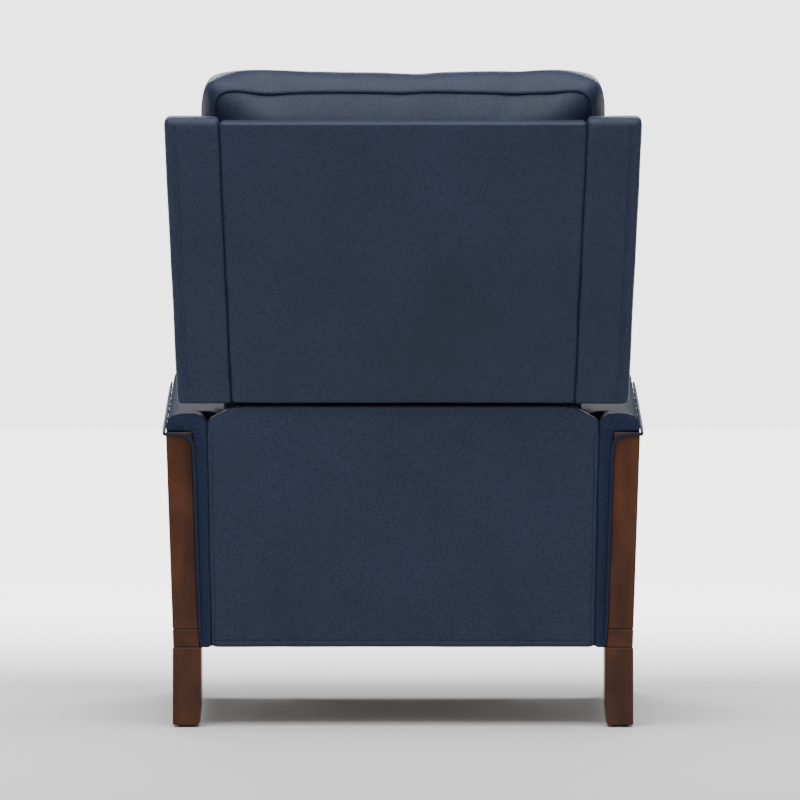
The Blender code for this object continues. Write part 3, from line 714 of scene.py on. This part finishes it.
def leaned_extent(points, turn):
    """Low and high corners of points seen in a cushion's own upright frame."""
    flat = [turn @ point for point in points]
    low = Vector([min(point[axis] for point in flat) for axis in range(3)])
    high = Vector([max(point[axis] for point in flat) for axis in range(3)])
    return low, high


def fitted(item, node, tilt, low_margin, high_margin):
    """Stretches a puffed cover a little so that it fills its node's own box, plus a margin."""
    turn = Matrix.Rotation(tilt, 3, "X")
    back = turn.inverted()
    low, high = leaned_extent([vert.co for vert in NODES[node].data.vertices], turn)
    now_low, now_high = leaned_extent([vert.co for vert in item.data.vertices], turn)
    for vert in item.data.vertices:
        flat = turn @ vert.co
        for axis in range(3):
            share = (flat[axis] - now_low[axis]) / (now_high[axis] - now_low[axis])
            start = low[axis] - low_margin[axis]
            flat[axis] = start + (high[axis] + high_margin[axis] - start) * share
        vert.co = back @ flat
    return item


def cushion(node, most, shrink, tilt=0.0, low_margin=SNUG, high_margin=SNUG):
    """A loose cushion: its cover is puffed up from a slightly smaller form."""
    item = remeshed(copied(node, node + "_cover"), CUSHION_VOXEL, 3)
    low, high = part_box(node)
    centre = (low + high) / 2.0
    pushed_out(item, lambda place: -shrink)
    inflated(item, most)
    smoothed(item, EASE_PASSES)
    fitted(item, node, tilt, low_margin, high_margin)
    subdivided(item)
    ripple(item, CUSHION_RIPPLE, CUSHION_RIPPLE_SCALE, centre.z * 10.0)
    finished(item, body_of(node), NAVY_LEATHER)
    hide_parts(node)
    return item


def border_loop(corners, radius, steps=10):
    """A closed rounded line through four corners."""
    points = []
    count = len(corners)
    for index, corner in enumerate(corners):
        before = (corners[index - 1] - corner).normalized()
        after = (corners[(index + 1) % count] - corner).normalized()
        start = corner + before * radius
        end = corner + after * radius
        for step in range(steps + 1):
            t = step / steps
            points.append(start.lerp(corner, t).lerp(corner.lerp(end, t), t))
    dense = []
    for index, point in enumerate(points):
        following = points[(index + 1) % len(points)]
        gap = (following - point).length
        pieces = max(1, int(gap / PIPING_PITCH))
        for piece in range(pieces):
            dense.append(point.lerp(following, piece / pieces))
    return dense


def eased(points, passes):
    """A closed line with its small waves taken out."""
    for _ in range(passes):
        following = points[1:] + points[:1]
        before = points[-1:] + points[:-1]
        points = [(a + b * 2.0 + c) / 4.0 for a, b, c in zip(before, points, following)]
    return points


def add_piping(name, item, loop, body):
    """A round cord laid on the item's surface along a closed line."""
    line = eased(snapped_to(item, loop, PIPING_LIFT), 12)
    line = eased(snapped_to(item, line, PIPING_LIFT), 3)
    bm = bmesh.new()
    cord_mesh(bm, line, WELT_RADIUS, closed=True)
    finished(object_from(bm, name), body, WELT_LEATHER)


def leaned_corners(node, tilt, at_share):
    """The four corners of one of a cushion's two large faces, given by a share of its thickness."""
    item = NODES[node]
    turn = Matrix.Rotation(tilt, 3, "X")
    flat = [turn @ vert.co for vert in item.data.vertices]
    low_y = min(point.y for point in flat)
    high_y = max(point.y for point in flat)
    y = low_y + (high_y - low_y) * at_share
    top_z = max(point.z for point in flat)
    low_z = min(point.z for point in flat)
    top_half = max(abs(point.x) for point in flat if point.z > top_z - CORNER_BAND)
    low_half = max(abs(point.x) for point in flat if point.z < low_z + CORNER_BAND)
    back = turn.inverted()
    places = ((-low_half, low_z), (low_half, low_z), (top_half, top_z), (-top_half, top_z))
    return [back @ Vector((x, y, z)) for x, z in places]


def rectangle(low, high):
    """The corners of a rectangle, in turn."""
    return ((low[0], low[1]), (high[0], low[1]), (high[0], high[1]), (low[0], high[1]))


def build_cushions():
    """The back and seat cushions, each piped round both faces, and the footrest pad, piped in front."""
    back = cushion("back_cushion", 0.024, 0.006, BACK_TILT, BACK_CUSHION_WIDER, BACK_CUSHION_TALLER)
    for name, share in (("rear", 1.0 - BACK_PIPING_SHARE), ("front", BACK_PIPING_SHARE)):
        corners = leaned_corners("back_cushion", BACK_TILT, share)
        add_piping(f"back_cushion_piping_{name}", back, border_loop(corners, BACK_PIPING_CORNER), "back")
    seat = cushion("seat_cushion", 0.022, 0.005)
    low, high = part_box("seat_cushion")
    for name, z in (("upper", high.z - SEAT_PIPING_INSET), ("lower", low.z + SEAT_PIPING_INSET)):
        corners = [Vector((x, y, z)) for x, y in rectangle((low.x, low.y), (high.x, high.y))]
        add_piping(f"seat_cushion_piping_{name}", seat, border_loop(corners, SEAT_PIPING_CORNER), "seat")
    foot = cushion("foot_pad", 0.014, 0.003)
    low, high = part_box("foot_pad")
    y = low.y + FOOT_PIPING_INSET
    corners = [Vector((x, y, z)) for x, z in rectangle((low.x, low.z), (high.x, high.z))]
    add_piping("foot_pad_piping", foot, border_loop(corners, FOOT_PIPING_CORNER), "footrest")


# Studio.

def pale_floor():
    """Matt white that starts to glow some way beyond the chair."""
    material, nodes, links, shader = new_material("pale_floor")
    place = object_coordinates(nodes, links)
    grain = noise_texture(nodes, links, place, 3.0, 2.0)
    tone = colour_ramp(nodes, links, grain, ((0.0, scaled(STUDIO_WHITE, 0.99)), (1.0, STUDIO_WHITE)))
    links.new(tone, shader.inputs["Base Color"])
    shader.inputs["Roughness"].default_value = 0.8
    split = nodes.new("ShaderNodeSeparateXYZ")
    links.new(place, split.inputs["Vector"])
    glow = faded(nodes, links, split.outputs["Y"], FLOOR_GLOW_FROM_Y, FLOOR_GLOW_FULL_Y)
    links.new(calculated(nodes, links, "MULTIPLY", glow, FLOOR_GLOW), shader.inputs["Emission Strength"])
    shader.inputs["Emission Color"].default_value = (1.0, 1.0, 1.0, 1.0)
    return material


def floor():
    bm = bmesh.new()
    corners = rectangle((-FLOOR_REACH, -FLOOR_REACH), (FLOOR_REACH, FLOOR_REACH))
    bm.faces.new([bm.verts.new((x, y, FLOOR_HEIGHT)) for x, y in corners])
    item = object_from(bm, "studio_floor")
    item.data.materials.append(pale_floor())


def area_light(name, place, target, size, power):
    data = bpy.data.lights.new(name, "AREA")
    data.shape = "RECTANGLE"
    data.size, data.size_y = size
    data.energy = power
    item = bpy.data.objects.new(name, data)
    item.location = place
    item.rotation_euler = (Vector(target) - Vector(place)).to_track_quat("-Z", "Y").to_euler()
    bpy.context.scene.collection.objects.link(item)


def studio_world():
    """A soft white room, slightly brighter behind the chair than in front of it.

    A bright panel stands far off in front of the chair, where the camera looks.
    """
    world = bpy.data.worlds.new("studio")
    bpy.context.scene.world = world
    world.use_nodes = True
    nodes, links = world.node_tree.nodes, world.node_tree.links
    background = nodes["Background"]
    place = nodes.new("ShaderNodeTexCoord")
    split = nodes.new("ShaderNodeSeparateXYZ")
    links.new(place.outputs["Generated"], split.inputs["Vector"])
    front = faded(nodes, links, split.outputs["Y"], 0.2, -0.7)
    room = spread(nodes, links, front, ROOM_REAR, ROOM_FRONT)
    height = calculated(nodes, links, "ABSOLUTE", split.outputs["Z"], 0.0)
    level = faded(nodes, links, height, 0.150, 0.115)
    ahead = faded(nodes, links, split.outputs["Y"], -0.965, -0.985)
    panel = calculated(nodes, links, "MULTIPLY", level, ahead)
    panel = calculated(nodes, links, "MULTIPLY", panel, BACKDROP)
    links.new(calculated(nodes, links, "ADD", room, panel), background.inputs["Strength"])
    background.inputs["Color"].default_value = (1.0, 1.0, 1.0, 1.0)


def camera():
    """Level and square on to the rear."""
    data = bpy.data.cameras.new("camera")
    data.sensor_width = SENSOR
    data.lens = SENSOR * CAMERA_DISTANCE / METRES_ACROSS
    item = bpy.data.objects.new("camera", data)
    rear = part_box("rear_panel")[1].y
    item.location = (CAMERA_SIDESTEP, rear + CAMERA_DISTANCE, CAMERA_HEIGHT)
    item.rotation_euler = (math.pi / 2.0, 0.0, math.pi)
    bpy.context.scene.collection.objects.link(item)
    bpy.context.scene.camera = item


dress_hard_parts()
build_back()
build_rear_panel()
build_arms()
build_cushions()
floor()
studio_world()
for light in LIGHTS:
    area_light(*light)
camera()
